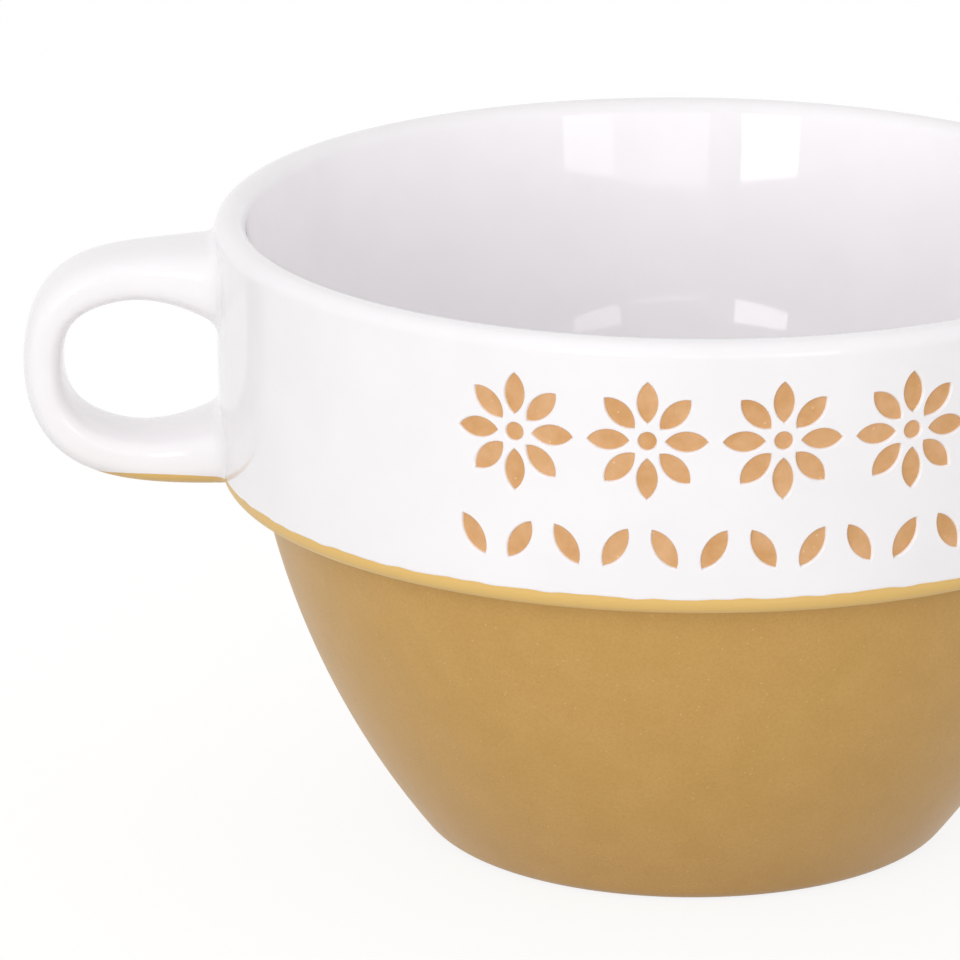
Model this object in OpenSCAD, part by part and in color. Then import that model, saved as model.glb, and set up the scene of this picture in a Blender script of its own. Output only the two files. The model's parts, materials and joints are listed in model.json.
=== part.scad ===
// Stackable stoneware soup mug: a bowl with an overhanging glazed band and an ear handle.
// The origin is on the mug's axis, on the table. The handle points along -X, the ornament faces -Y.

/* [Body] */
// Outside diameter at the rim, over the glaze
rim_d = 120; // [110:1:132]
// Height of the rim's top above the table
height = 80; // [74:1:90]
// Thickness of the rounded lip, over the glaze
lip_t = 4; // [3.2:0.1:5]
// Draft of the upper band's outside, in degrees
band_draft = 1; // [0.2:0.1:2]
// Height of the band, from the stacking ledge's underside to the rim's top
band_h = 34.2; // [31:0.1:38]
// Play of the bowl all round, inside the rim of the mug that it is stacked on
nest_gap = 1.6; // [0.6:0.1:3]
// Radius of the bowl's convex flank
flank_r = 103; // [85:1:160]
// Radius of the ledge's outer edge
ledge_edge_r = 1.6; // [1:0.1:1.8]
// Radius of the fillet where the ledge leaves the bowl
ledge_fillet_r = 1.1; // [0.6:0.1:1.4]

/* [Inside] */
// Thickness of the clay wall of the bowl
wall_t = 5.9; // [4:0.1:7]
// Thickness of the clay floor over the foot's hollow
floor_t = 4.5; // [3.5:0.1:6]
// Tilt of the inside wall where it leaves the lip, in degrees
lip_tilt = 9.6; // [5:0.1:13]
// Depth below the ledge at which the inside wall runs into the bowl's own curve
blend_drop = 12; // [8:0.5:20]
// Radius between the inside wall and the floor
floor_corner_r = 14; // [9:0.5:18]

/* [Foot] */
// Outside diameter of the flat ring that the mug stands on
foot_d = 60.8; // [54:0.2:66]
// Width of that flat ring
foot_w = 4.6; // [3:0.1:7]
// Depth of the hollow inside the ring
foot_hollow = 1.8; // [1:0.1:2.6]
// Slope width of the hollow's side
foot_slope = 1.4; // [0.6:0.1:2.4]
// Radius between the foot and the flank
foot_corner_r = 4.2; // [3:0.1:5]

/* [Coats] */
// Thickness of the white glaze, and of the slip that the handle is stuck on with
glaze_t = 0.4; // [0.25:0.05:0.6]
// Thickness of the matt coat on the bowl
coat_t = 0.3; // [0.2:0.05:0.5]
// Height of the glaze's lower edge above the ledge
glaze_gap = 2.1; // [1.9:0.1:3]
// Where the coat stops on the foot's corner, in degrees below level
coat_stop = 62; // [48:1:66]

/* [Handle] */
// Reach of the handle's middle line out from the rim
handle_reach = 21.6; // [17:0.2:30]
// Thickness of the handle's limbs, in clay
limb_t = 5.5; // [4.5:0.1:7]
// Thickness of the handle at its bend, in clay
bend_t = 4.3; // [3.6:0.1:6]
// Width of the handle, in clay
handle_w = 11.6; // [10:0.1:16]
// Drop of the upper limb's middle line below the rim, at the wall
upper_drop = 7.4; // [6:0.1:9]
// Rise of the lower limb's middle line above the ledge, at the wall
lower_rise = 3.5; // [3:0.1:5]
// Length of the flare where a limb meets the wall
flare_len = 13.5; // [8:0.5:15]
// Flare of the upper root on the finger's side
upper_flare = 3; // [1.5:0.1:4]
// Flare of the lower root on the finger's side
lower_flare = 2.5; // [1.5:0.1:4]
// Flare of the upper root on its top
top_flare = 1.4; // [0.4:0.1:1.8]
// Flare of the lower root on its underside
under_flare = 0.3; // [0.1:0.1:0.5]
// Flare of each root to either side
side_flare = 2.3; // [1:0.1:3.5]
// Height of the coat's edge on the handle above the ledge
handle_dip = 2; // [0.8:0.1:2.6]

/* [Ornament] */
// Number of rosettes in the upper row
rosettes = 4; // [2:1:6]
// Number of petals in a rosette
petals = 8; // [5:1:10]
// Diameter of a rosette
rosette_d = 14.6; // [11:0.2:15]
// Width of a petal
petal_w = 2.5; // [1.5:0.1:3.2]
// Diameter of a rosette's middle dot
dot_d = 2.2; // [1.4:0.1:3]
// Distance between rosettes along the wall
rosette_pitch = 16.4; // [15.4:0.2:20]
// Number of leaves in the lower row
leaves = 11; // [5:2:15]
// Length of a leaf
leaf_l = 5.6; // [3:0.1:7]
// Width of a leaf
leaf_w = 2.4; // [1.2:0.1:3]
// Distance between leaves along the wall
leaf_pitch = 6; // [5:0.1:8]
// Lean of the leaves from upright, in degrees
leaf_lean = 32; // [0:1:60]

/* [Hidden] */

// Counts of straight steps that an arc of the profile is drawn with
arc_steps = 8;
wall_steps = 20;
// Roundness of what is turned
turn_fn = 180;
// Points round the handle's section, and rings along each half of it
section_points = 24;
half_rings = 14;
// Exponent of the handle's rounded oblong section
section_power = 2.9;
// Overrun of cuts
over = 3;

// Shares of the inside wall's length that the lip's end and the bowl's end of its curve pull
lip_pull_share = 0.65;
bowl_pull_share = 0.4;
// Shares of the handle's reach and rise that shape its curve
root_pull_share = 0.75;
bend_pull_share = 0.39;
bend_z_share = 0.52;
// Slope of each limb's middle line where it leaves the wall, in degrees
upper_rise = 5.7;
lower_fall = 5.7;
// Heights of the two ornament rows, as shares of the glazed band
rosette_z_share = 0.62;
leaf_z_share = 0.2;

// Places that the profile's arcs are turned about, as radius and height, all in bare clay
ledge_z = height - band_h;
bowl_d = rim_d - 2 * (lip_t + nest_gap);
clay_ledge_z = ledge_z + coat_t;
glaze_z = ledge_z + glaze_gap;
floor_z = foot_hollow + floor_t;
lip_r = lip_t / 2 - glaze_t;
lip_c = [rim_d / 2 - lip_t / 2, height - lip_t / 2];
edge_c = [band_r(clay_ledge_z + ledge_edge_r, -ledge_edge_r), clay_ledge_z + ledge_edge_r];
foot_c = [foot_d / 2, foot_corner_r];
bowl_top = [bowl_d / 2 - coat_t, clay_ledge_z];
flank_c = meet(foot_c, flank_r - foot_corner_r, bowl_top, flank_r, 1);
fillet_c = on_arc(flank_c, flank_r + ledge_fillet_r, clay_ledge_z - ledge_fillet_r);
inner_flank_r = flank_r - wall_t;
blend = on_arc(flank_c, inner_flank_r, ledge_z - blend_drop);
floor_c = on_arc(flank_c, inner_flank_r - floor_corner_r, floor_z + floor_corner_r);

// Inside wall: ends and pulls of its curve, from the lip down to the bowl
lip_end = lip_c + lip_r * [-cos(lip_tilt), sin(lip_tilt)];
wall_l = norm(blend - lip_end);
lip_pull = lip_end - wall_l * lip_pull_share * [sin(lip_tilt), cos(lip_tilt)];
bowl_pull = blend + wall_l * bowl_pull_share * across(blend - flank_c) / inner_flank_r;
wall_curve = [lip_end, lip_pull, bowl_pull, blend];

// Handle: ends and pulls of the two curves of its middle line, as reach and height
wall_r = band_r(ledge_z, 0);
upper_z = height - upper_drop;
lower_z = ledge_z + lower_rise;
bend_z = lower_z + (upper_z - lower_z) * bend_z_share;
bend_x = rim_d / 2 + handle_reach;
reach = bend_x - wall_r;
upper_root = [wall_r, upper_z];
lower_root = [wall_r, lower_z];
bend = [bend_x, bend_z];
upper_pull = upper_root + reach * root_pull_share * [cos(upper_rise), sin(upper_rise)];
lower_pull = lower_root + reach * root_pull_share * [cos(lower_fall), -sin(lower_fall)];
bend_pull = [0, (upper_z - lower_z) * bend_pull_share];
upper_curve = [upper_root, upper_pull, bend + bend_pull, bend];
lower_curve = [bend, bend - bend_pull, lower_pull, lower_root];

// Where the circles about p and q meet, on the left (1) or right (-1) of the way from p to q
function meet(p, rp, q, rq, side) =
    let (d = norm(q - p), along = (rp * rp - rq * rq + d * d) / (2 * d), u = (q - p) / d)
    p + along * u + side * sqrt(rp * rp - along * along) * across(u);

// Outer point of the circle about c at height z
function on_arc(c, r, z) = [c.x + sqrt(r * r - (z - c.y) * (z - c.y)), z];

// Direction from p to q, in degrees
function bearing(p, q) = atan2(q.y - p.y, q.x - p.x);

// Points of an arc
function arc(c, r, from, to, n) =
    [for (i = [0:n]) let (a = from + (to - from) * i / n) c + r * [cos(a), sin(a)]];

// The same without its first point, to follow a stretch that ends there
function arc_on(c, r, from, to, n) =
    [for (i = [1:n]) let (a = from + (to - from) * i / n) c + r * [cos(a), sin(a)]];

// A direction turned a quarter to the left
function across(v) = [-v.y, v.x];

function reversed(list) = [for (i = [len(list) - 1:-1:0]) list[i]];

// A list without its first item, to follow a list that ends in the same point
function after_first(list) = [for (i = [1:len(list) - 1]) list[i]];

// Radius of the band's outside at height z, off above the clay
function band_r(z, off) =
    lip_c.x + (lip_r + off + (z - lip_c.y) * sin(band_draft)) / cos(band_draft);

// Outside of the bowl from the foot's corner to the glaze's lower edge, off above the clay
function bowl_outside(off, start) =
    let (foot_end = bearing(flank_c, foot_c), flank_end = bearing(flank_c, fillet_c))
    concat(
        arc(foot_c, foot_corner_r + off, -start, foot_end, arc_steps),
        arc_on(flank_c, flank_r + off, foot_end, flank_end, wall_steps),
        arc_on(fillet_c, ledge_fillet_r - off, 180 + flank_end, 90, arc_steps),
        arc(edge_c, ledge_edge_r + off, -90, -band_draft, arc_steps),
        [[band_r(glaze_z, off), glaze_z]]
    );

// Outside of the band from the glaze's lower edge to the lip's crest
function band_outside(off) =
    concat([[band_r(glaze_z, off), glaze_z]], arc(lip_c, lip_r + off, -band_draft, 90, arc_steps));

// Inside from the lip's crest to the middle of the floor
function inside(off) =
    let (corner = bearing(flank_c, floor_c))
    concat(
        arc(lip_c, lip_r + off, 90, 180 - lip_tilt, arc_steps),
        [for (i = [1:wall_steps]) curve(wall_curve, i / wall_steps)
            - off * across(heading(wall_curve, i / wall_steps))],
        arc_on(flank_c, inner_flank_r - off, bearing(flank_c, blend), corner, wall_steps),
        arc_on(floor_c, floor_corner_r - off, corner, -90, arc_steps),
        [[0, floor_z + off]]
    );

// Underside: the hollow inside the foot ring
function underside() =
    let (ring_r = foot_d / 2 - foot_w)
    [[0, foot_hollow], [ring_r - foot_slope, foot_hollow], [ring_r, 0]];

// Point t of the way along a cubic curve, and its direction there
function curve(p, t) =
    let (s = 1 - t)
    s * s * s * p[0] + 3 * s * s * t * p[1] + 3 * s * t * t * p[2] + t * t * t * p[3];
function heading(p, t) =
    let (s = 1 - t, d = s * s * (p[1] - p[0]) + 2 * s * t * (p[2] - p[1]) + t * t * (p[3] - p[2]))
    d / norm(d);

// How far a root has flared, from 0 along the limb to 1 at the wall
function flared(x) =
    let (k = min(1, max(0, 1 - (x - wall_r) / flare_len)))
    k * k;

// One side of a rounded oblong section
function lobe(v) = sign(v) * pow(abs(v), 2 / section_power);

// Section of the handle at the middle point p, with its outward normal n, off above the clay.
// Its root flares by the first of the two flares on the finger's side, and the second outside.
function section(p, n, flares, off) =
    let (f = flared(p.x), grow_in = flares[0] * f, grow_out = flares[1] * f)
    let (thick = bend_t + (limb_t - bend_t) * n.y * n.y + grow_in + grow_out)
    let (c = p + n * (grow_out - grow_in) / 2, half_w = handle_w / 2 + side_flare * f + off)
    [
        for (i = [0:section_points - 1])
            let (a = 360 * i / section_points, u = (thick / 2 + off) * lobe(cos(a)))
            [-(c.x + u * n.x), half_w * lobe(sin(a)), c.y + u * n.y]
    ];

// Rings of sections: the upper limb out to the bend, then the lower limb back to the wall.
// Each limb starts inside the wall, by an overrun that a cut needs.
function limb_rings(p, flares, off) =
    [
        for (i = [0:half_rings])
            let (t = i / half_rings)
            section(curve(p, t), across(heading(p, t)), flares, off)
    ];
function upper_rings(off, deep) =
    let (r = limb_rings(upper_curve, [upper_flare, top_flare], off))
    concat([[for (q = r[0]) q + [deep, 0, 0]]], r);
function lower_rings(off, deep) =
    let (r = limb_rings(lower_curve, [lower_flare, under_flare], off))
    concat(r, [[for (q = r[half_rings]) q + [deep, 0, 0]]]);
function handle_rings(off, deep) =
    let (l = lower_rings(off, deep))
    concat(upper_rings(off, deep), after_first(l));

// Solid through a list of rings
module loft(rings) {
    n = section_points;
    last = len(rings) - 1;
    sides = [
        for (i = [0:last - 1], j = [0:n - 1])
            let (a = i * n + j, b = i * n + (j + 1) % n)
            each [[a, b + n, b], [a, a + n, b + n]]
    ];
    ends = [[for (j = [0:n - 1]) j], [for (j = [n - 1:-1:0]) last * n + j]];
    polyhedron([for (r = rings, q = r) q], concat(sides, ends));
}

// Thin shell between two profiles, turned about the mug's axis
module turned_coat(face, back) {
    rotate_extrude($fn = turn_fn)
        polygon(concat(face, reversed(back)));
}

// The mug's outside as a plug, off above the clay, that the handle's roots are cut to
module outside_plug(off) {
    rim = band_outside(off);
    points = concat([[0, clay_ledge_z - off]], bowl_edge(off), rim, [[0, rim[len(rim) - 1].y]]);
    rotate_extrude($fn = turn_fn)
        polygon(points);
}
function bowl_edge(off) = arc(edge_c, ledge_edge_r + off, -90, -band_draft, arc_steps);

// Everything above (1) or below (-1) the coat's edge on the handle
module dip_side(side) {
    wide = 2 * (bend_x + limb_t + over);
    translate([-wide / 2, -wide / 2, ledge_z + handle_dip - (side > 0 ? 0 : wide)])
        cube(wide);
}

// Coat all round the handle, before it is parted at the dip line
module handle_shell() {
    difference() {
        loft(handle_rings(glaze_t, over));
        loft(handle_rings(0, 2 * over));
        outside_plug(glaze_t);
    }
}

// Slip between a root and the wall
module slip_joint(rings) {
    intersection() {
        loft(rings);
        difference() {
            outside_plug(glaze_t);
            outside_plug(0);
        }
    }
}

// Pointed leaf outline, between two arcs
module leaf(l, w) {
    r = (l * l + w * w) / (4 * w);
    intersection() {
        translate([0, r - w / 2])
            circle(r, $fn = turn_fn);
        translate([0, w / 2 - r])
            circle(r, $fn = turn_fn);
    }
}

// Carries an outline to the wall, a distance along it from the front and at height z, as a cutter
module on_front(along, z) {
    rotate(along / (rim_d / 2) * 180 / PI - 90)
        translate([rim_d / 2 - over, 0, z])
            rotate([90, 0, 90])
                linear_extrude(2 * over)
                    children();
}

// Windows in the glaze that show the clay: a row of rosettes over a row of leaning leaves
module ornament() {
    glazed_h = height - glaze_z;
    for (i = [0:rosettes - 1])
        on_front((i - (rosettes - 1) / 2) * rosette_pitch, glaze_z + glazed_h * rosette_z_share) {
            circle(dot_d / 2, $fn = turn_fn);
            petal_l = (rosette_d - 2 * dot_d) / 2;
            for (k = [0:petals - 1])
                rotate(360 * k / petals)
                    translate([dot_d + petal_l / 2, 0])
                        leaf(petal_l, petal_w);
        }
    for (i = [0:leaves - 1])
        on_front((i - (leaves - 1) / 2) * leaf_pitch, glaze_z + glazed_h * leaf_z_share)
            rotate(90 + leaf_lean * (i % 2 == 0 ? 1 : -1))
                leaf(leaf_l, leaf_w);
}

module clay_body() {
    outside = concat(bowl_outside(0, 90), after_first(band_outside(0)));
    color("#c9995f")
        rotate_extrude($fn = turn_fn)
            polygon(concat(underside(), outside, after_first(inside(0))));
}

module handle() {
    color("#c9995f")
        difference() {
            loft(handle_rings(0, over));
            outside_plug(glaze_t);
        }
}

module upper_slip_joint() {
    color("#b98a55")
        slip_joint(upper_rings(0, over));
}

module lower_slip_joint() {
    color("#b98a55")
        slip_joint(lower_rings(0, over));
}

module interior_glaze() {
    color("#f1eef0")
        turned_coat(inside(glaze_t), inside(0));
}

module band_glaze() {
    color("#f6f4f5")
        difference() {
            turned_coat(band_outside(glaze_t), band_outside(0));
            loft(upper_rings(0, over));
            loft(lower_rings(0, over));
            ornament();
        }
}

module handle_glaze() {
    color("#f6f4f5")
        intersection() {
            handle_shell();
            dip_side(1);
        }
}

module bowl_coat() {
    color("#b98f4e")
        turned_coat(bowl_outside(coat_t, coat_stop), bowl_outside(0, coat_stop));
}

module handle_coat() {
    color("#b98f4e")
        intersection() {
            handle_shell();
            dip_side(-1);
        }
}

clay_body();
handle();
upper_slip_joint();
lower_slip_joint();
interior_glaze();
band_glaze();
handle_glaze();
bowl_coat();
handle_coat();
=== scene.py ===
# Stoneware soup mug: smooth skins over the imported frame, their finishes, the studio and the camera.
# Sizes are in millimetres until a mesh is made, and the frame is in metres.
import json
import math

import bmesh
import bpy
from mathutils import Matrix, Vector
from mathutils.geometry import delaunay_2d_cdt
from mathutils.kdtree import KDTree


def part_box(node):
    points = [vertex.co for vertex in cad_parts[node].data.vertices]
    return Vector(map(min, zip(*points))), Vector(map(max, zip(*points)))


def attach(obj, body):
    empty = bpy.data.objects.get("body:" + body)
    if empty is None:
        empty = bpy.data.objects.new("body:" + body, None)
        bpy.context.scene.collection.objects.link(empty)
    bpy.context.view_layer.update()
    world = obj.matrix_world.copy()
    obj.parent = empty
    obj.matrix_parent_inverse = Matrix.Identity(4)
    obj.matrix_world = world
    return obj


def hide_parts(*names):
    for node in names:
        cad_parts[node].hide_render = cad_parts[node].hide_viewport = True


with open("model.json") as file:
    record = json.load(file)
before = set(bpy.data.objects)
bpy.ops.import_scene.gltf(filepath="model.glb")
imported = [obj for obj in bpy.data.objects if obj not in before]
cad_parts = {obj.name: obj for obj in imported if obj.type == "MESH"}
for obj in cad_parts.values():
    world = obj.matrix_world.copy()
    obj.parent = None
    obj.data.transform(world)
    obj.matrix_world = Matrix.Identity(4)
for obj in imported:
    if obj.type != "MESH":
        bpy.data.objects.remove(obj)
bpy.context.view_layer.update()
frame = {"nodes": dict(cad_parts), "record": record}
mm = 0.001

# The turned body. Rim, height and the two levels come from the frame.
mounts = {m["name"]: m for m in frame["record"]["mounts"]}
mug = dict(
    rim=2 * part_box("band_glaze")[1].y / mm,
    height=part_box("interior_glaze")[1].z / mm,
    ledge=mounts["stacking_ledge"]["pos_m"][2] / mm,
    glazeLine=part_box("band_glaze")[0].z / mm,
    lip=4,           # thickness of the rounded lip
    draft=1,         # degrees
    nestGap=1.6,     # play of the bowl in the rim below it
    flank=103,
    ledgeEdge=1.6,
    ledgeFillet=1.1,
    wall=5.9,
    lipTilt=9.6,     # degrees, inside
    lipPull=0.65,    # shares of the inside wall's length that shape its curve
    bowlPull=0.4,
    blendDrop=12,
    floor=4.5,
    floorCorner=14,
    foot=60.8,
    footWidth=4.6,
    footHollow=1.8,
    footSlope=1.4,
    footCorner=4.2,
    glaze=0.4,
    coat=0.3,
    coatStop=62,     # degrees below level
    coatLap=1,       # how far the coat runs on under the glaze
)
fineness = dict(corner=16, fillet=10, flank=56, inside=24, wall=48, spokes=360, backShare=4)


def meet(p, pr, q, qr):  # left-hand crossing of two circles
    d = (q - p).length
    along = (pr * pr - qr * qr + d * d) / (2 * d)
    u = (q - p) / d
    return p + along * u + math.sqrt(pr * pr - along * along) * across(u)


def across(v):  # a quarter turn to the left
    return Vector((-v.y, v.x))


def onArc(c, r, z):
    return Vector((c.x + math.sqrt(r * r - (z - c.y) ** 2), z))


def bearing(p, q):
    return math.degrees(math.atan2(q.y - p.y, q.x - p.x))


def aim(degrees):
    return Vector((math.cos(math.radians(degrees)), math.sin(math.radians(degrees))))


# A profile is a list of (point, normal): radius and height, and the way out of the clay.
def arc(c, r, start, end, steps, hollow=False):
    turns = [aim(start + (end - start) * i / steps) for i in range(steps + 1)]
    return [(c + r * d, -d if hollow else d) for d in turns]


def bezier(p, t):
    s = 1 - t
    return s**3 * p[0] + 3 * s * s * t * p[1] + 3 * s * t * t * p[2] + t**3 * p[3]


def heading(p, t):
    s = 1 - t
    d = s * s * (p[1] - p[0]) + 2 * s * t * (p[2] - p[1]) + t * t * (p[3] - p[2])
    return d.normalized()


def lifted(profile, off):
    return [(p + off * n, n) for p, n in profile]


def backed(face, depth):  # closes a skin with its own underside, on a share of the points
    under = face[:-1:fineness["backShare"]] + face[-1:]
    return face + [(p - depth * n, -n) for p, n in reversed(under)]


# Centres of the profile's arcs, in bare clay
clayLedge = mug["ledge"] + mug["coat"]
lipR = mug["lip"] / 2 - mug["glaze"]
lipC = Vector((mug["rim"] / 2 - mug["lip"] / 2, mug["height"] - mug["lip"] / 2))
footC = Vector((mug["foot"] / 2, mug["footCorner"]))
bowlTop = Vector((mug["rim"] / 2 - mug["lip"] - mug["nestGap"] - mug["coat"], clayLedge))
flankC = meet(footC, mug["flank"] - mug["footCorner"], bowlTop, mug["flank"])
filletC = onArc(flankC, mug["flank"] + mug["ledgeFillet"], clayLedge - mug["ledgeFillet"])
innerFlank = mug["flank"] - mug["wall"]
floorZ = mug["footHollow"] + mug["floor"]
floorC = onArc(flankC, innerFlank - mug["floorCorner"], floorZ + mug["floorCorner"])
blend = onArc(flankC, innerFlank, mug["ledge"] - mug["blendDrop"])
bandOut = aim(-mug["draft"])


def bandR(z, off=0):  # outside of the band, off above the clay
    tilt = math.radians(mug["draft"])
    return lipC.x + (lipR + off + (z - lipC.y) * math.sin(tilt)) / math.cos(tilt)


edgeZ = clayLedge + mug["ledgeEdge"]
edgeC = Vector((bandR(edgeZ, -mug["ledgeEdge"]), edgeZ))


def bowlOutside(start, top):
    footEnd, flankEnd = bearing(flankC, footC), bearing(flankC, filletC)
    return (
        arc(footC, mug["footCorner"], -start, footEnd, fineness["corner"])
        + arc(flankC, mug["flank"], footEnd, flankEnd, fineness["flank"])[1:]
        + arc(filletC, mug["ledgeFillet"], 180 + flankEnd, 90, fineness["fillet"], hollow=True)[1:]
        + arc(edgeC, mug["ledgeEdge"], -90, -mug["draft"], fineness["corner"])
        + [(Vector((bandR(top), top)), bandOut)]
    )


def insideWall():
    lipEnd = lipC + lipR * aim(180 - mug["lipTilt"])
    length = (blend - lipEnd).length
    downLip = across(aim(180 - mug["lipTilt"]))
    upBowl = across((blend - flankC).normalized())
    pulls = lipEnd + length * mug["lipPull"] * downLip, blend + length * mug["bowlPull"] * upBowl
    curve = [lipEnd, *pulls, blend]
    corner, steps = bearing(flankC, floorC), fineness["inside"]
    shares = [i / fineness["wall"] for i in range(1, fineness["wall"] + 1)]
    wall = [(bezier(curve, t), -across(heading(curve, t))) for t in shares]
    return (
        arc(lipC, lipR, 90, 180 - mug["lipTilt"], steps)
        + wall
        + arc(flankC, innerFlank, bearing(flankC, blend), corner, steps, hollow=True)[1:]
        + arc(floorC, mug["floorCorner"], corner, -90, steps, hollow=True)[1:]
        + [(Vector((0, floorZ)), Vector((0, 1)))]
    )


def underside():
    ring = mug["foot"] / 2 - mug["footWidth"]
    down = Vector((0, -1))
    hollow = [(0, mug["footHollow"]), (ring - mug["footSlope"], mug["footHollow"]), (ring, 0)]
    return [(Vector(p), down) for p in hollow]


# One helper for every node tree: an input takes a value, a socket or a node's first output
def addNode(tree, kind, inputs=None, **settings):
    node = tree.nodes.new(kind)
    for key, value in settings.items():
        setattr(node, key, value)
    for socket, value in (inputs or {}).items():
        if isinstance(value, bpy.types.Node):
            value = value.outputs[0]
        if isinstance(value, bpy.types.NodeSocket):
            tree.links.new(value, node.inputs[socket])
        else:
            node.inputs[socket].default_value = value
    return node


def linear(code):  # sRGB hex to linear RGBA
    parts = [int(code[i:i + 2], 16) / 255 for i in (1, 3, 5)]
    return [c / 12.92 if c <= 0.04045 else ((c + 0.055) / 1.055) ** 2.4 for c in parts] + [1]


def newMaterial(name):
    material = bpy.data.materials.new(name)
    material.use_nodes = True
    tree = material.node_tree
    shader = tree.nodes["Principled BSDF"]
    place = addNode(tree, "ShaderNodeTexCoord").outputs["Object"]
    return material, tree, shader, place


def patternScale(size):  # for a pattern whose features are that many millimetres across
    return 1 / (size * mm)


# Colour, relief and gloss go to the shader
def finishSurface(tree, shader, look, tone, relief, depth):
    bump = addNode(tree, "ShaderNodeBump", {"Height": relief, "Strength": 1, "Distance": depth * mm})
    tree.links.new(tone.outputs[2], shader.inputs["Base Color"])
    tree.links.new(bump.outputs[0], shader.inputs["Normal"])
    shader.inputs["Roughness"].default_value = look["roughness"]
    shader.inputs["IOR"].default_value = look["ior"]


# White tin glaze, fired glossy: a clean mirror over a faintly clouded white
whiteGlaze = dict(
    body="#FCF9FB", cloud="#F9F6F8", cloudSize=14, cloudRange=(0.35, 0.65),
    ripple=9, rippleDepth=0.012, roughness=0.035, ior=1.52,
)


def makeWhiteGlaze():
    look = whiteGlaze
    low, high = look["cloudRange"]
    material, tree, shader, place = newMaterial("whiteGlaze")
    clouds = addNode(tree, "ShaderNodeTexNoise", {
        "Vector": place, "Scale": patternScale(look["cloudSize"]), "Detail": 3, "Roughness": 0.5})
    spread = addNode(tree, "ShaderNodeMapRange", {"Value": clouds, "From Min": low, "From Max": high})
    tone = addNode(tree, "ShaderNodeMix", {
        "Factor": spread, "A": linear(look["body"]), "B": linear(look["cloud"])}, data_type="RGBA")
    ripple = addNode(tree, "ShaderNodeTexNoise", {
        "Vector": place, "Scale": patternScale(look["ripple"]), "Detail": 1, "Roughness": 0.4})
    finishSurface(tree, shader, look, tone, ripple, look["rippleDepth"])
    return material


# Mustard engobe under a satin matt glaze: fine dark grain and a few pale specks, with painted light on the
# ledge: its front painted brighter as if lit, and a painted highlight low on its outer edge
mustardCoat = dict(
    body="#CEA35E", deep="#C99E58", mottle=6, mottleRange=(0.32, 0.68),
    grit="#AE8442", grain=0.32, grainRange=(0.4, 0.7), gritShare=0.27, grainDepth=0.014,
    speck="#F0DCB2", speckCell=1.3, speckSize=0.1, speckCore=0.6, speckShare=0.5,
    # painted light: a brighter tone for the ledge's lit front, and a pale painted highlight for its lower
    # outer edge
    litLedgeTone="#E8C074", edgeHighlightTone="#EBCF98", edgeHighlightShare=0.3,
    litLedgeReach=(-1, 0.5), edgeHighlightReach=(0.5, 1.1),   # out from the middle of the ledge's rounding
    edgeHighlightRise=(0.25, 0.75),                        # above the ledge
    roughness=0.38, ior=1.38,
)


def makeMustardCoat():
    look = mustardCoat
    material, tree, shader, place = newMaterial("mustardCoat")
    mottle = addNode(tree, "ShaderNodeTexNoise", {
        "Vector": place, "Scale": patternScale(look["mottle"]), "Detail": 4, "Roughness": 0.55})
    low, high = look["mottleRange"]
    depth = addNode(tree, "ShaderNodeMapRange", {"Value": mottle, "From Min": low, "From Max": high})
    tone = addNode(tree, "ShaderNodeMix", {
        "Factor": depth, "A": linear(look["body"]), "B": linear(look["deep"])}, data_type="RGBA")
    grain = addNode(tree, "ShaderNodeTexNoise", {
        "Vector": place, "Scale": patternScale(look["grain"]), "Detail": 2, "Roughness": 0.6})
    low, high = look["grainRange"]
    grit = addNode(tree, "ShaderNodeMapRange", {
        "Value": grain, "From Min": low, "From Max": high, "To Max": look["gritShare"]})
    grained = addNode(tree, "ShaderNodeMix", {
        "Factor": grit, "A": tone.outputs[2], "B": linear(look["grit"])}, data_type="RGBA")
    cells = addNode(tree, "ShaderNodeTexVoronoi", {
        "Vector": place, "Scale": patternScale(look["speckCell"]), "Randomness": 1})
    speckR = look["speckSize"] / look["speckCell"]
    speck = addNode(tree, "ShaderNodeMapRange", {
        "Value": cells.outputs["Distance"], "From Min": speckR * look["speckCore"], "From Max": speckR,
        "To Min": look["speckShare"], "To Max": 0})
    speckled = addNode(tree, "ShaderNodeMix", {
        "Factor": speck, "A": grained.outputs[2], "B": linear(look["speck"])}, data_type="RGBA")
    # painted light: the ledge's front is painted brighter as if lit more, with a painted highlight low on
    # its outer edge
    split = addNode(tree, "ShaderNodeSeparateXYZ", {"Vector": place}).outputs
    flat = addNode(tree, "ShaderNodeCombineXYZ", {0: split[0], 1: split[1]})
    radius = addNode(tree, "ShaderNodeVectorMath", {0: flat}, operation="LENGTH").outputs["Value"]
    near, far = [(edgeC.x + reach) * mm for reach in look["litLedgeReach"]]
    litLedgeMask = addNode(tree, "ShaderNodeMapRange", {"Value": radius, "From Min": near, "From Max": far})
    litLedgeColour = addNode(tree, "ShaderNodeMix", {
        "Factor": litLedgeMask, "A": speckled.outputs[2], "B": linear(look["litLedgeTone"])}, data_type="RGBA")
    # painted highlight: a paler line low on the ledge's outer edge
    near, far = [(edgeC.x + reach) * mm for reach in look["edgeHighlightReach"]]
    outEdge = addNode(tree, "ShaderNodeMapRange", {"Value": radius, "From Min": near, "From Max": far})
    low, high = [(mug["ledge"] + rise) * mm for rise in look["edgeHighlightRise"]]
    lowEdge = addNode(tree, "ShaderNodeMapRange", {
        "Value": split[2], "From Min": low, "From Max": high, "To Min": look["edgeHighlightShare"], "To Max": 0})
    edgeHighlightMask = addNode(tree, "ShaderNodeMath", {0: lowEdge, 1: outEdge}, operation="MULTIPLY")
    paintedLightColour = addNode(tree, "ShaderNodeMix", {
        "Factor": edgeHighlightMask, "A": litLedgeColour.outputs[2], "B": linear(look["edgeHighlightTone"])}, data_type="RGBA")
    finishSurface(tree, shader, look, paintedLightColour, grain, look["grainDepth"])
    return material


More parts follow.
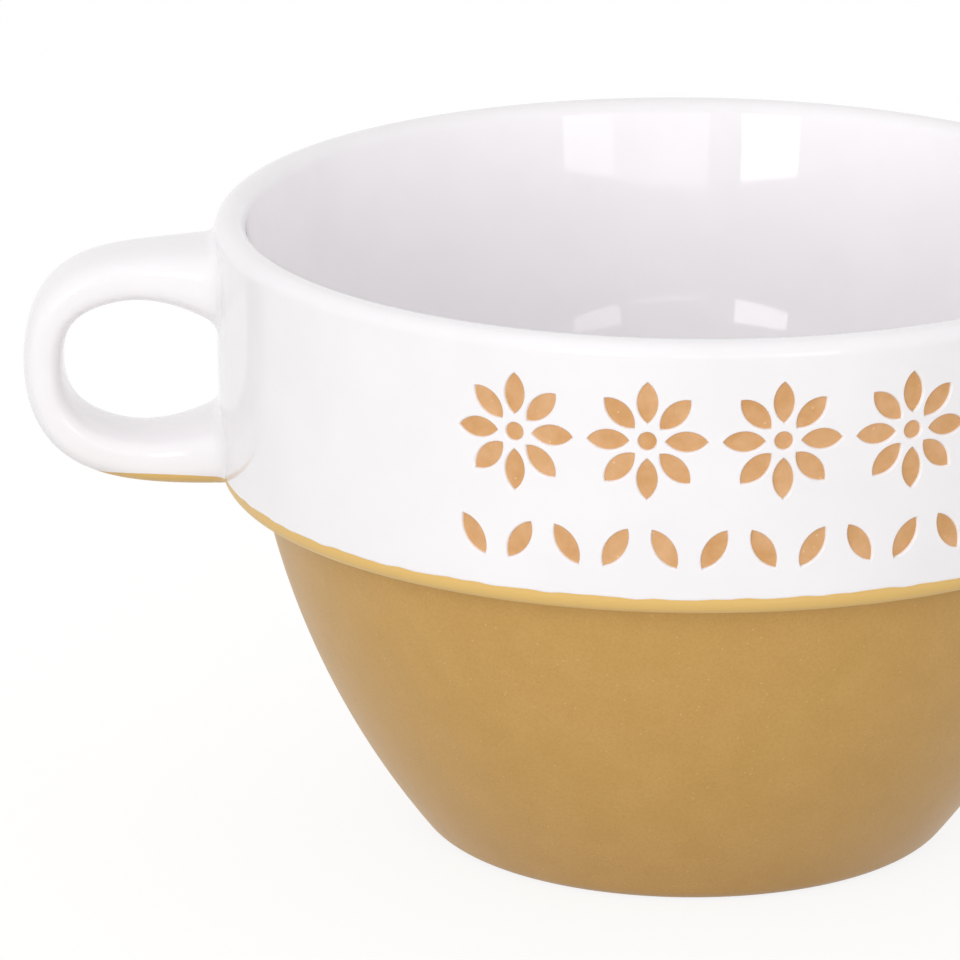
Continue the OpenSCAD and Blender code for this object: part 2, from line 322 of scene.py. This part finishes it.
# Buff stoneware, fired bare: dry and matt, with sandy grain and small pale flecks
bareClay = dict(
    body="#E2B283", warm="#D39E66", mottle=3.2, mottleRange=(0.32, 0.68),
    fleck="#EFD0A4", fleckCell=1.4, fleckSize=0.16, fleckCore=0.5, fleckShare=0.7,
    grit=0.3, gritDepth=0.03, roughness=0.85, ior=1.45,
)


def makeBareClay():
    look = bareClay
    low, high = look["mottleRange"]
    material, tree, shader, place = newMaterial("bareClay")
    mottle = addNode(tree, "ShaderNodeTexNoise", {
        "Vector": place, "Scale": patternScale(look["mottle"]), "Detail": 4, "Roughness": 0.6})
    depth = addNode(tree, "ShaderNodeMapRange", {"Value": mottle, "From Min": low, "From Max": high})
    tone = addNode(tree, "ShaderNodeMix", {
        "Factor": depth, "A": linear(look["body"]), "B": linear(look["warm"])}, data_type="RGBA")
    cells = addNode(tree, "ShaderNodeTexVoronoi", {
        "Vector": place, "Scale": patternScale(look["fleckCell"]), "Randomness": 1})
    fleckR = look["fleckSize"] / look["fleckCell"]
    fleck = addNode(tree, "ShaderNodeMapRange", {
        "Value": cells.outputs["Distance"], "From Min": fleckR * look["fleckCore"], "From Max": fleckR,
        "To Min": look["fleckShare"], "To Max": 0})
    flecked = addNode(tree, "ShaderNodeMix", {
        "Factor": fleck, "A": tone.outputs[2], "B": linear(look["fleck"])}, data_type="RGBA")
    grit = addNode(tree, "ShaderNodeTexNoise", {
        "Vector": place, "Scale": patternScale(look["grit"]), "Detail": 2, "Roughness": 0.6})
    finishSurface(tree, shader, look, flecked, grit, look["gritDepth"])
    return material


# Fired slip: the body's clay, wetter and finer, a shade darker
joiningSlip = dict(body="#B98A57", pale="#C39763", mottle=3, roughness=0.8)


def makeJoiningSlip():
    look = joiningSlip
    material, tree, shader, place = newMaterial("joiningSlip")
    mottle = addNode(tree, "ShaderNodeTexNoise", {
        "Vector": place, "Scale": patternScale(look["mottle"]), "Detail": 3})
    tone = addNode(tree, "ShaderNodeMix", {
        "Factor": mottle, "A": linear(look["body"]), "B": linear(look["pale"])}, data_type="RGBA")
    tree.links.new(tone.outputs[2], shader.inputs["Base Color"])
    shader.inputs["Roughness"].default_value = look["roughness"]
    return material


glazeFinish, coatFinish = makeWhiteGlaze(), makeMustardCoat()
clayFinish, slipFinish = makeBareClay(), makeJoiningSlip()
print("finishes made")


def makePiece(name, points, faces, material, normals=None):
    mesh = bpy.data.meshes.new(name)
    mesh.from_pydata([p * mm for p in points], [], faces)
    mesh.polygons.foreach_set("use_smooth", [True] * len(mesh.polygons))
    if normals:
        mesh.normals_split_custom_set_from_vertices(normals)
    mesh.materials.append(material)
    piece = bpy.data.objects.new(name, mesh)
    bpy.context.collection.objects.link(piece)
    return piece


# Turns a closed profile about the mug's axis, with the profile's own normals
def turnOnWheel(name, profile, material):
    spokes = fineness["spokes"]
    points, normals, rings = [], [], []
    for p, n in profile:
        onAxis = p.x < 1e-6
        rings.append([])
        for k in range(1 if onAxis else spokes):
            d = aim(360 * k / spokes)
            rings[-1].append(len(points))
            points.append(Vector((p.x * d.x, p.x * d.y, p.y)))
            normals.append(Vector((0, 0, n.y)) if onAxis else Vector((n.x * d.x, n.x * d.y, n.y)))
    faces = []
    for a, b in zip(rings, rings[1:] + rings[:1]):
        for k in range(spokes if len(a) + len(b) > 2 else 0):
            corners = [a[k % len(a)], a[(k + 1) % len(a)], b[(k + 1) % len(b)], b[k % len(b)]]
            faces.append([c for i, c in enumerate(corners) if c != corners[i - 1]])
    return makePiece(name, points, faces, material, normals)


outerLip = arc(lipC, lipR, -mug["draft"], 90, fineness["corner"])
clayLoop = underside() + bowlOutside(90, mug["glazeLine"]) + outerLip + insideWall()[1:]
clayBody = turnOnWheel("clayBody", clayLoop, clayFinish)
bowlFace = lifted(bowlOutside(mug["coatStop"], mug["glazeLine"] + mug["coatLap"]), mug["coat"])
bowlCoat = turnOnWheel("bowlCoat", backed(bowlFace, mug["coat"]), coatFinish)
insideFace = lifted(insideWall(), mug["glaze"])
interiorGlaze = turnOnWheel("interiorGlaze", backed(insideFace, mug["glaze"]), glazeFinish)
print("turned pieces made")

# Ornament left open in the band's glaze: rosettes over leaning leaves
ornament = {
    "Rosettes": 4, "Petals": 8, "Rosette Width": 14.6, "Petal Width": 2.5, "Dot Width": 2.2,
    "Rosette Pitch": 16.4, "Leaves": 11, "Leaf Length": 5.6, "Leaf Width": 2.4, "Leaf Pitch": 6.0,
    "Lean": math.radians(32), "Arc Points": 12, "Dot Points": 24,
}
rows = dict(rosette=0.62, leaf=0.2)  # heights as shares of the glazed band


def makeOrnamentTree():
    tree = bpy.data.node_groups.new("openOrnament", "GeometryNodeTree")
    tree.interface.new_socket("Geometry", in_out="INPUT", socket_type="NodeSocketGeometry")
    tree.interface.new_socket("Geometry", in_out="OUTPUT", socket_type="NodeSocketGeometry")
    for name, value in ornament.items():
        kind = "NodeSocketInt" if isinstance(value, int) else "NodeSocketFloat"
        tree.interface.new_socket(name, in_out="INPUT", socket_type=kind)
    for name in ("Rosette Height", "Leaf Height"):
        tree.interface.new_socket(name, in_out="INPUT", socket_type="NodeSocketFloat")
    tree.interface.new_socket("Finish", in_out="INPUT", socket_type="NodeSocketMaterial")
    sizes = addNode(tree, "NodeGroupInput").outputs
    index = addNode(tree, "GeometryNodeInputIndex")

    def leaf(length, width):  # two arcs, closed and filled
        size = addNode(tree, "ShaderNodeCombineXYZ", {0: length, 1: width})
        back, over, under, front = [
            addNode(tree, "ShaderNodeVectorMath", {0: size, 1: share}, operation="MULTIPLY")
            for share in ((-0.5, 0, 0), (0, 0.5, 0), (0, -0.5, 0), (0.5, 0, 0))]
        upper, lower = [
            addNode(tree, "GeometryNodeCurveArc", {
                "Resolution": sizes["Arc Points"], "Start": back, "Middle": side, "End": front},
                mode="POINTS")
            for side in (over, under)]
        joined = addNode(tree, "GeometryNodeJoinGeometry", {0: upper})
        tree.links.new(lower.outputs[0], joined.inputs[0])
        wire = addNode(tree, "GeometryNodeCurveToMesh", {0: joined})
        closed = addNode(tree, "GeometryNodeMergeByDistance", {0: wire, "Distance": 0.01})
        loop = addNode(tree, "GeometryNodeMeshToCurve", {0: closed})
        return addNode(tree, "GeometryNodeFillCurve", {0: loop}, mode="NGONS")

    def spread(shape, count, position, turn):
        spots = addNode(tree, "GeometryNodePoints", {"Count": count, "Position": position})
        angle = addNode(tree, "ShaderNodeCombineXYZ", {2: turn})
        rotation = addNode(tree, "FunctionNodeEulerToRotation", {0: angle})
        placed = addNode(tree, "GeometryNodeInstanceOnPoints", {
            "Points": spots, "Instance": shape, "Rotation": rotation})
        return addNode(tree, "GeometryNodeRealizeInstances", {0: placed})

    def inRow(count, pitch, height):  # places in a row about the middle
        middle = addNode(tree, "ShaderNodeMath", {0: count, 1: 0.5, 2: -0.5}, operation="MULTIPLY_ADD")
        step = addNode(tree, "ShaderNodeMath", {0: index, 1: middle}, operation="SUBTRACT")
        along = addNode(tree, "ShaderNodeMath", {0: step, 1: pitch}, operation="MULTIPLY")
        return addNode(tree, "ShaderNodeCombineXYZ", {0: along, 1: height})

    # a rosette: petals about a dot
    dotWidth = sizes["Dot Width"]
    reach = addNode(tree, "ShaderNodeMath", {0: sizes["Rosette Width"], 1: 0.5}, operation="MULTIPLY")
    petalLength = addNode(tree, "ShaderNodeMath", {0: reach, 1: dotWidth}, operation="SUBTRACT")
    middle = addNode(tree, "ShaderNodeMath", {
        0: petalLength, 1: 0.5, 2: dotWidth}, operation="MULTIPLY_ADD")
    part = addNode(tree, "ShaderNodeMath", {0: index, 1: sizes["Petals"]}, operation="DIVIDE")
    turn = addNode(tree, "ShaderNodeMath", {0: part, 1: 2 * math.pi}, operation="MULTIPLY")
    cosine = addNode(tree, "ShaderNodeMath", {0: turn}, operation="COSINE")
    sine = addNode(tree, "ShaderNodeMath", {0: turn}, operation="SINE")
    way = addNode(tree, "ShaderNodeCombineXYZ", {0: cosine, 1: sine})
    petalSpots = addNode(tree, "ShaderNodeVectorMath", {0: way, "Scale": middle}, operation="SCALE")
    petals = spread(leaf(petalLength, sizes["Petal Width"]), sizes["Petals"], petalSpots, turn)
    dotR = addNode(tree, "ShaderNodeMath", {0: dotWidth, 1: 0.5}, operation="MULTIPLY")
    dot = addNode(tree, "GeometryNodeMeshCircle", {
        "Vertices": sizes["Dot Points"], "Radius": dotR}, fill_type="NGON")
    rosette = addNode(tree, "GeometryNodeJoinGeometry", {0: petals})
    tree.links.new(dot.outputs[0], rosette.inputs[0])
    rosetteSpots = inRow(sizes["Rosettes"], sizes["Rosette Pitch"], sizes["Rosette Height"])
    rosettes = spread(rosette, sizes["Rosettes"], rosetteSpots, 0)

    # leaves lean one way and the other
    odd = addNode(tree, "ShaderNodeMath", {0: index, 1: 2}, operation="MODULO")
    side = addNode(tree, "ShaderNodeMath", {0: odd, 1: -2, 2: 1}, operation="MULTIPLY_ADD")
    lean = addNode(tree, "ShaderNodeMath", {
        0: sizes["Lean"], 1: side, 2: math.pi / 2}, operation="MULTIPLY_ADD")
    leafSpots = inRow(sizes["Leaves"], sizes["Leaf Pitch"], sizes["Leaf Height"])
    leaves = spread(leaf(sizes["Leaf Length"], sizes["Leaf Width"]), sizes["Leaves"], leafSpots, lean)

    both = addNode(tree, "GeometryNodeJoinGeometry", {0: rosettes})
    tree.links.new(leaves.outputs[0], both.inputs[0])
    whole = addNode(tree, "GeometryNodeRealizeInstances", {0: both})
    painted = addNode(tree, "GeometryNodeSetMaterial", {0: whole, "Material": sizes["Finish"]})
    addNode(tree, "NodeGroupOutput", {0: painted})
    return tree


# The stencil is flat: millimetres along the wall from the front, and above the glaze's lower edge
def cutStencil():
    tree = makeOrnamentTree()
    stencil = bpy.data.objects.new("stencil", bpy.data.meshes.new("stencil"))
    bpy.context.collection.objects.link(stencil)
    modifier = stencil.modifiers.new("openOrnament", "NODES")
    modifier.node_group = tree
    glazed = mug["height"] - mug["glazeLine"]
    values = dict(ornament, Finish=clayFinish)
    values["Rosette Height"], values["Leaf Height"] = glazed * rows["rosette"], glazed * rows["leaf"]
    for item in tree.interface.items_tree:
        if item.in_out == "INPUT" and item.name in values:
            modifier[item.identifier] = values[item.name]
    flat = bpy.data.meshes.new_from_object(stencil.evaluated_get(bpy.context.evaluated_depsgraph_get()))
    outlines = [[flat.vertices[i].co.xy for i in face.vertices] for face in flat.polygons]
    bpy.data.objects.remove(stencil)
    bpy.data.meshes.remove(flat)
    return outlines


outlines = cutStencil()
print("ornament cut:", len(outlines), "windows")

# The band's glaze, from its wavy lower edge over the outside to the lip's crest
band = dict(
    columns=360, row=1.0, lipRows=24, clear=1.35,      # clear of the windows' own rings
    edge=0.45, windowEdge=0.26, edgeSteps=5, sunk=0.03, waveFade=4,
)
waves = [  # depth, count, phase
    (0.06, 9, 0.6), (0.05, 21, 2.1), (0.05, 43, 4.4), (0.05, 67, 1.3), (0.04, 101, 3.0),
]


def waveAt(turn):
    return sum(depth * math.sin(count * turn + phase) for depth, count, phase in waves)


straight = (lipC.y + lipR * bandOut.y - mug["glazeLine"]) / math.cos(math.radians(mug["draft"]))
lipLength = lipR * math.radians(90 + mug["draft"])


# Point, normal and upward way of the clay at a length above the glaze's lower edge
def bandAt(v):
    start = Vector((bandR(mug["glazeLine"]), mug["glazeLine"]))
    if v <= straight:
        return start + v * across(bandOut), bandOut, across(bandOut)
    out = aim(-mug["draft"] + math.degrees((v - straight) / lipR))
    return lipC + lipR * out, out, across(out)


# Rounded edge: distance in, height and the two parts of the normal, from the clay to the full coat
def roundedEdge(width):
    steps = []
    for i in range(band["edgeSteps"]):
        turn = math.pi / 2 * i / (band["edgeSteps"] - 1)
        lean = Vector((math.cos(turn) * mug["glaze"], math.sin(turn) * width)).normalized()
        steps.append((width * (1 - math.cos(turn)), mug["glaze"] * math.sin(turn), lean.x, lean.y))
    return steps


def makeBandGlaze():
    around = mug["rim"] / 2
    flat, lift, local, edges, windowOf = [], [], [], [], []

    def add(s, v, height, normal, window=-1):
        flat.append(Vector((s, v)))
        lift.append(height)
        local.append(normal)
        windowOf.append(window)
        return len(flat) - 1

    # the windows, each with rings that climb its rounded edge
    for w, outline in enumerate(outlines):
        count = len(outline)
        area = sum(a.x * b.y - b.x * a.y for a, b in zip(outline, outline[1:] + outline[:1]))
        loop = outline if area > 0 else outline[::-1]
        for k, (inset, height, lean, rise) in enumerate(roundedEdge(band["windowEdge"])):
            ring = []
            for i, p in enumerate(loop):
                out = -across((loop[(i + 1) % count] - loop[i - 1]).normalized())
                q = p + inset * out
                ring.append(add(q.x, q.y, height, Vector((-lean * out.x, -lean * out.y, rise)),
                                w if k == 0 else -1))
            edges += [(ring[i - 1], ring[i]) for i in range(count)]
    near = KDTree(len(flat))
    for i, p in enumerate(flat):
        near.insert((p.x, p.y, 0), i)
    near.balance()

    # the open field, in columns and rows
    levels = [(v, height, Vector((0, -lean, rise))) for v, height, lean, rise in roundedEdge(band["edge"])]
    fieldRows = round((straight - band["edge"]) / band["row"])
    plain = Vector((0, 0, 1))
    for i in range(1, fieldRows + 1):
        levels.append((band["edge"] + (straight - band["edge"]) * i / fieldRows, mug["glaze"], plain))
    for i in range(1, band["lipRows"] + 1):
        levels.append((straight + lipLength * i / band["lipRows"], mug["glaze"], plain))
    alias = {}
    for v, height, normal in levels:
        for k in range(band["columns"] + 1):
            s = (k / band["columns"] - 0.5) * 2 * math.pi * around
            if near.find((s, v, 0))[2] < band["clear"]:
                continue
            i = add(s, v, height, normal)
            if k == 0:
                first = i
            elif k == band["columns"]:
                alias[i] = first

    cut = delaunay_2d_cdt(flat, edges, [], 0, 1e-6, True)
    origin = [ids[0] for ids in cut[3]]
    faces = []
    for face in cut[2]:
        ids = [origin[i] for i in face]
        windows = {windowOf[i] for i in ids}
        if len(windows) == 1 and -1 not in windows:
            continue  # the open window itself
        faces.append([alias.get(i, i) for i in ids])

    # place on the wall, off the clay, with the ways along, up and out from there
    def onWall(p, off):
        turn = p.x / around - math.pi / 2
        wave = waveAt(turn) * max(0, 1 - p.y / band["waveFade"]) ** 2
        spot, out, up = bandAt(p.y)
        radial = Vector((math.cos(turn), math.sin(turn), 0))
        along = Vector((-math.sin(turn), math.cos(turn), 0))
        turned = [radial * d.x + Vector((0, 0, d.y)) for d in (spot + wave * up + off * out, up, out)]
        return turned[0], along, turned[1], turned[2]

    points, normals = [], []
    for p, height, n in zip(flat, lift, local):
        spot, along, up, out = onWall(p, height)
        points.append(spot)
        normals.append((n.x * along + n.y * up + n.z * out).normalized())

    # the underside, sunk a hair into the clay, and the rims between
    count = len(points)
    used = {(a, b) for face in faces for a, b in zip(face, face[1:] + face[:1])}
    rims = [(b, a, a + count, b + count) for a, b in used if (b, a) not in used]
    for p in flat:
        spot, _, _, out = onWall(p, -band["sunk"])
        points.append(spot)
        normals.append(-out)
    faces += [[i + count for i in reversed(face)] for face in faces] + rims

    # only the points in use
    kept = sorted({i for face in faces for i in face})
    place = {old: new for new, old in enumerate(kept)}
    return makePiece(
        "bandGlaze", [points[i] for i in kept], [[place[i] for i in face] for face in faces],
        glazeFinish, [normals[i] for i in kept])


bandGlaze = makeBandGlaze()
print("band glazed")

# The ear handle: two curves from the wall to the bend, a rounded oblong section, roots that flare
ear = dict(
    reach=21.6, limb=5.5, bend=4.3, width=11.6, upperDrop=7.4, lowerRise=3.5,
    flareLength=13.5, upperFlares=(3, 1.4), lowerFlares=(2.5, 0.3), sideFlare=2.3, dip=2,
    power=2.9, rootPull=0.75, bendPull=0.39, bendShare=0.52, slope=5.7,
    spokes=96, rings=56, filletRings=7, fillet=1.3, filletEase=1.5, sunk=0.8,
    poolFrom=1, poolOver=2.5,          # above the ledge, where the pooled glaze sets in
    search=(-0.2, 0.6), halvings=40,   # shares of a limb between which its root lies
    crease=60,                         # degrees
)
wallR = bandR(mug["ledge"])
upperZ = mug["height"] - ear["upperDrop"]
lowerZ = mug["ledge"] + ear["lowerRise"]
span = upperZ - lowerZ
bendSpot = Vector((mug["rim"] / 2 + ear["reach"], lowerZ + span * ear["bendShare"]))
limbReach = bendSpot.x - wallR


# Each limb runs from its root to the bend, with side 1 on top and -1 below
def limbCurve(z, side):
    root = Vector((wallR, z))
    return [root, root + limbReach * ear["rootPull"] * aim(side * ear["slope"]),
            bendSpot + Vector((0, side * span * ear["bendPull"])), bendSpot]


limbs = [
    (limbCurve(upperZ, 1), 1, ear["upperFlares"]),
    (limbCurve(lowerZ, -1), -1, ear["lowerFlares"]),
]


def lobe(v):
    return math.copysign(abs(v) ** (2 / ear["power"]), v)


# Point of a limb's glazed skin, and its way out from the middle line
def skinPoint(limb, t, spoke):
    curve, side, flares = limb
    p = bezier(curve, t)
    n = side * across(heading(curve, t))
    k = min(1, max(0, 1 - (p.x - wallR) / ear["flareLength"])) ** 2
    growIn, growOut = flares[0] * k, flares[1] * k
    thick = ear["bend"] + (ear["limb"] - ear["bend"]) * n.y**2 + growIn + growOut
    c = p + n * (growOut - growIn) / 2
    halfThick = thick / 2 + mug["glaze"]
    halfWidth = ear["width"] / 2 + ear["sideFlare"] * k + mug["glaze"]
    a = 2 * math.pi * spoke / ear["spokes"]
    u, y = halfThick * lobe(math.cos(a)), halfWidth * lobe(math.sin(a))
    spot = Vector((-(c.x + u * n.x), y, c.y + u * n.y))
    out = Vector((-u * n.x / halfThick**2, y / halfWidth**2, u * n.y / halfThick**2)).normalized()
    return spot, out


def wallAt(z):  # the mug's outside where the roots land
    if z >= edgeC.y:
        return bandR(z, mug["glaze"])
    edgeR = mug["ledgeEdge"] + mug["coat"]
    return edgeC.x + math.sqrt(max(0, edgeR**2 - (edgeC.y - z) ** 2))


def offWall(limb, t, spoke):
    spot = skinPoint(limb, t, spoke)[0]
    return math.hypot(spot.x, spot.y) - wallAt(spot.z)


def whereOff(limb, spoke, distance):  # how far along a limb its skin is that far off the wall
    low, high = ear["search"]
    for _ in range(ear["halvings"]):
        middle = (low + high) / 2
        if offWall(limb, middle, spoke) < distance:
            low = middle
        else:
            high = middle
    return high


# One line of the skin from inside the wall to the bend, with the glaze pooled in the corner
def skinLine(limb, spoke):
    rootT, cornerT = whereOff(limb, spoke, 0), whereOff(limb, spoke, ear["fillet"])
    footing = skinPoint(limb, rootT, spoke)[0].z - mug["ledge"]
    pool = ear["fillet"] * min(1, max(0, (footing - ear["poolFrom"]) / ear["poolOver"]))
    line = []
    for i in range(ear["filletRings"]):
        share = (i / (ear["filletRings"] - 1)) ** ear["filletEase"]
        spot, out = skinPoint(limb, rootT + (cornerT - rootT) * share, spoke)
        push = pool * (1 - math.sqrt(1 - (1 - share) ** 2))
        spot += push * Vector((0, out.y, out.z))
        if i == 0:
            wall = wallAt(spot.z) / math.hypot(spot.x, spot.y)
            spot = Vector((spot.x * wall, spot.y * wall, spot.z))
            inner = 1 - ear["sunk"] / math.hypot(spot.x, spot.y)
            line.append(Vector((spot.x * inner, spot.y * inner, spot.z)))
        line.append(spot)
    for i in range(1, ear["rings"] + 1):
        line.append(skinPoint(limb, cornerT + (1 - cornerT) * i / ear["rings"], spoke)[0])
    return line


def makeHandleSkin():
    halves = [[skinLine(limb, k) for k in range(ear["spokes"])] for limb in limbs]
    lines = [upper + lower[-2::-1] for upper, lower in zip(*halves)]
    rings = len(lines[0])
    points = [line[i] for i in range(rings) for line in lines]
    n = ear["spokes"]
    faces = []
    for i in range(rings - 1):
        for k in range(n):
            a, b = i * n + k, i * n + (k + 1) % n
            faces.append([a, b, b + n, a + n])
    faces += [list(range(n))[::-1], [(rings - 1) * n + k for k in range(n)]]
    return points, faces


# The skin is parted at the dip line: white above, mustard below
def partSkin(name, points, faces, material, keepAbove):
    piece = makePiece(name, points, faces, material)
    shape = bmesh.new()
    shape.from_mesh(piece.data)
    bmesh.ops.recalc_face_normals(shape, faces=shape.faces)
    line = Vector((0, 0, (mug["ledge"] + ear["dip"]) * mm))
    cut = bmesh.ops.bisect_plane(
        shape, geom=shape.verts[:] + shape.edges[:] + shape.faces[:], plane_co=line,
        plane_no=Vector((0, 0, 1)), clear_inner=keepAbove, clear_outer=not keepAbove)
    rim = [e for e in cut["geom_cut"] if isinstance(e, bmesh.types.BMEdge)]
    bmesh.ops.contextual_create(shape, geom=rim)
    shape.to_mesh(piece.data)
    shape.free()
    piece.data.set_sharp_from_angle(angle=math.radians(ear["crease"]))
    return piece


skin = makeHandleSkin()
handleGlaze = partSkin("handleGlaze", *skin, glazeFinish, True)
handleCoat = partSkin("handleCoat", *skin, coatFinish, False)
print("handle made")

# Every piece rides on the one body and stands for its node
dressed = [
    (clayBody, "clay_body", "bare_clay"), (bowlCoat, "bowl_coat", "mustard_coat"),
    (interiorGlaze, "interior_glaze", "white_glaze"), (bandGlaze, "band_glaze", "white_glaze"),
    (handleGlaze, "handle_glaze", "white_glaze"), (handleCoat, "handle_coat", "mustard_coat"),
]
for piece, node, slot in dressed:
    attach(piece, "root")
    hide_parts(node)
carried = dict(handle=clayFinish, upper_slip_joint=slipFinish, lower_slip_joint=slipFinish)
for node, finish in carried.items():
    for slot in frame["nodes"][node].material_slots:
        slot.material = finish
print("pieces ride on the frame")

# Studio: a white sweep under a pale tent, three softboxes beside the camera and a wide fill
studio = dict(
    floorSize=6000, floorDrop=0.05, floorTone="#CFCFCF", floorGlow=0.85, floorShare=0.3,
    sky=0.94, skyLean=(0, 0.28, -0.33),
    softboxes=[
        dict(name="softboxLeft", bearing=-21.2, distance=1300, width=361, low=100, tall=369, radiance=3.8),
        dict(name="softboxRight", bearing=28, distance=1300, width=319, low=100, tall=369, radiance=2.0),
        dict(name="softboxLow", bearing=8.2, distance=1300, width=595, low=187, tall=200, radiance=1.2),
        dict(name="fill", bearing=-18, distance=1600, width=1900, low=80, tall=1100, radiance=1.5),
    ],
)
camera = dict(
    bearing=-3.1, elevation=17.143, distance=964.94, pivotZ=45, aimSide=-26.49, aimZ=44.38,
    roll=0.152, lens=284.53, sensor=36, near=50, far=50000,
)


# Rays that see plain white: the camera's, and what the glaze mirrors
def whiteRays(tree):
    path = addNode(tree, "ShaderNodeLightPath").outputs
    seen = addNode(tree, "ShaderNodeMath", {
        0: path["Is Camera Ray"], 1: path["Is Glossy Ray"]}, operation="MAXIMUM")
    return addNode(tree, "ShaderNodeMath", {0: seen, 1: path["Is Transmission Ray"]}, operation="MAXIMUM")


def makeWorld():
    world = bpy.data.worlds.new("sky")
    bpy.context.scene.world = world
    world.use_nodes = True
    tree = world.node_tree
    tree.nodes.clear()
    # the sky that lights the mug is brighter low down and behind it, as in a tent that is open in front
    way = addNode(tree, "ShaderNodeTexCoord").outputs["Generated"]
    lean = addNode(tree, "ShaderNodeVectorMath", {0: way, 1: studio["skyLean"]}, operation="DOT_PRODUCT")
    tent = addNode(tree, "ShaderNodeMath", {0: lean.outputs["Value"], 1: studio["sky"]}, operation="ADD")
    level = addNode(tree, "ShaderNodeMix", {"Factor": whiteRays(tree), "A": tent, "B": 1.0})
    sky = addNode(tree, "ShaderNodeBackground", {"Color": (1, 1, 1, 1), "Strength": level})
    addNode(tree, "ShaderNodeOutputWorld", {"Surface": sky})


# Matt white card: even and pale, lit up for the camera so that little more than the mug's shadow shows
def makeFloor():
    half = studio["floorSize"] / 2
    level = -studio["floorDrop"]  # a hair under the foot
    corners = [Vector((x * half, y * half, level)) for x, y in ((-1, -1), (1, -1), (1, 1), (-1, 1))]
    material = bpy.data.materials.new("paleFloor")
    material.use_nodes = True
    tree = material.node_tree
    tree.nodes.clear()
    share = studio["floorShare"]
    matt = addNode(tree, "ShaderNodeBsdfDiffuse", {"Color": linear(studio["floorTone"])})
    glow = addNode(tree, "ShaderNodeEmission", {
        "Color": (1, 1, 1, 1), "Strength": studio["floorGlow"] / (1 - share)})
    white = addNode(tree, "ShaderNodeMixShader", {0: share, 1: glow, 2: matt})
    chosen = addNode(tree, "ShaderNodeMixShader", {0: whiteRays(tree), 1: matt, 2: white})
    addNode(tree, "ShaderNodeOutputMaterial", {"Surface": chosen})
    floor = makePiece("floor", corners, [[0, 1, 2, 3]], material)


def makeSoftbox(box):
    turn = math.radians(box["bearing"] + camera["bearing"])
    height = (box["low"] + box["tall"] / 2) * mm
    light = bpy.data.lights.new(box["name"], "AREA")
    light.shape = "RECTANGLE"
    light.size, light.size_y = box["width"] * mm, box["tall"] * mm
    light.energy = box["radiance"] * math.pi * light.size * light.size_y
    lamp = bpy.data.objects.new(box["name"], light)
    reach = box["distance"] * mm
    lamp.location = (math.sin(turn) * reach, -math.cos(turn) * reach, height)
    target = Vector((0, 0, mug["height"] * mm))
    lamp.rotation_euler = (target - lamp.location).to_track_quat("-Z", "Y").to_euler()
    lamp.visible_glossy = box["name"] != "fill"  # the fill only lights, and the glaze mirrors the rest
    bpy.context.collection.objects.link(lamp)


def makeCamera():
    turn = Matrix.Rotation(math.radians(camera["bearing"]), 3, "Z")
    rise = math.radians(camera["elevation"])
    back = camera["distance"] * Vector((0, -math.cos(rise), math.sin(rise)))
    eye = turn @ (back + Vector((0, 0, camera["pivotZ"])))
    forward = (turn @ Vector((camera["aimSide"], 0, camera["aimZ"])) - eye).normalized()
    right = forward.cross(Vector((0, 0, 1))).normalized()
    up = right.cross(forward)
    tip = math.radians(camera["roll"])
    rolledRight = right * math.cos(tip) + up * math.sin(tip)
    rolledUp = up * math.cos(tip) - right * math.sin(tip)
    lens = bpy.data.cameras.new("portrait")
    lens.lens, lens.sensor_width = camera["lens"], camera["sensor"]
    lens.clip_start, lens.clip_end = camera["near"] * mm, camera["far"] * mm
    eyePiece = bpy.data.objects.new("portrait", lens)
    axes = Matrix((rolledRight, rolledUp, -forward)).transposed().to_4x4()
    eyePiece.matrix_world = Matrix.Translation(eye * mm) @ axes
    bpy.context.collection.objects.link(eyePiece)
    bpy.context.scene.camera = eyePiece


makeWorld()
makeFloor()
for box in studio["softboxes"]:
    makeSoftbox(box)
makeCamera()
bpy.context.scene.view_settings.view_transform = "Standard"
print("studio and camera set")
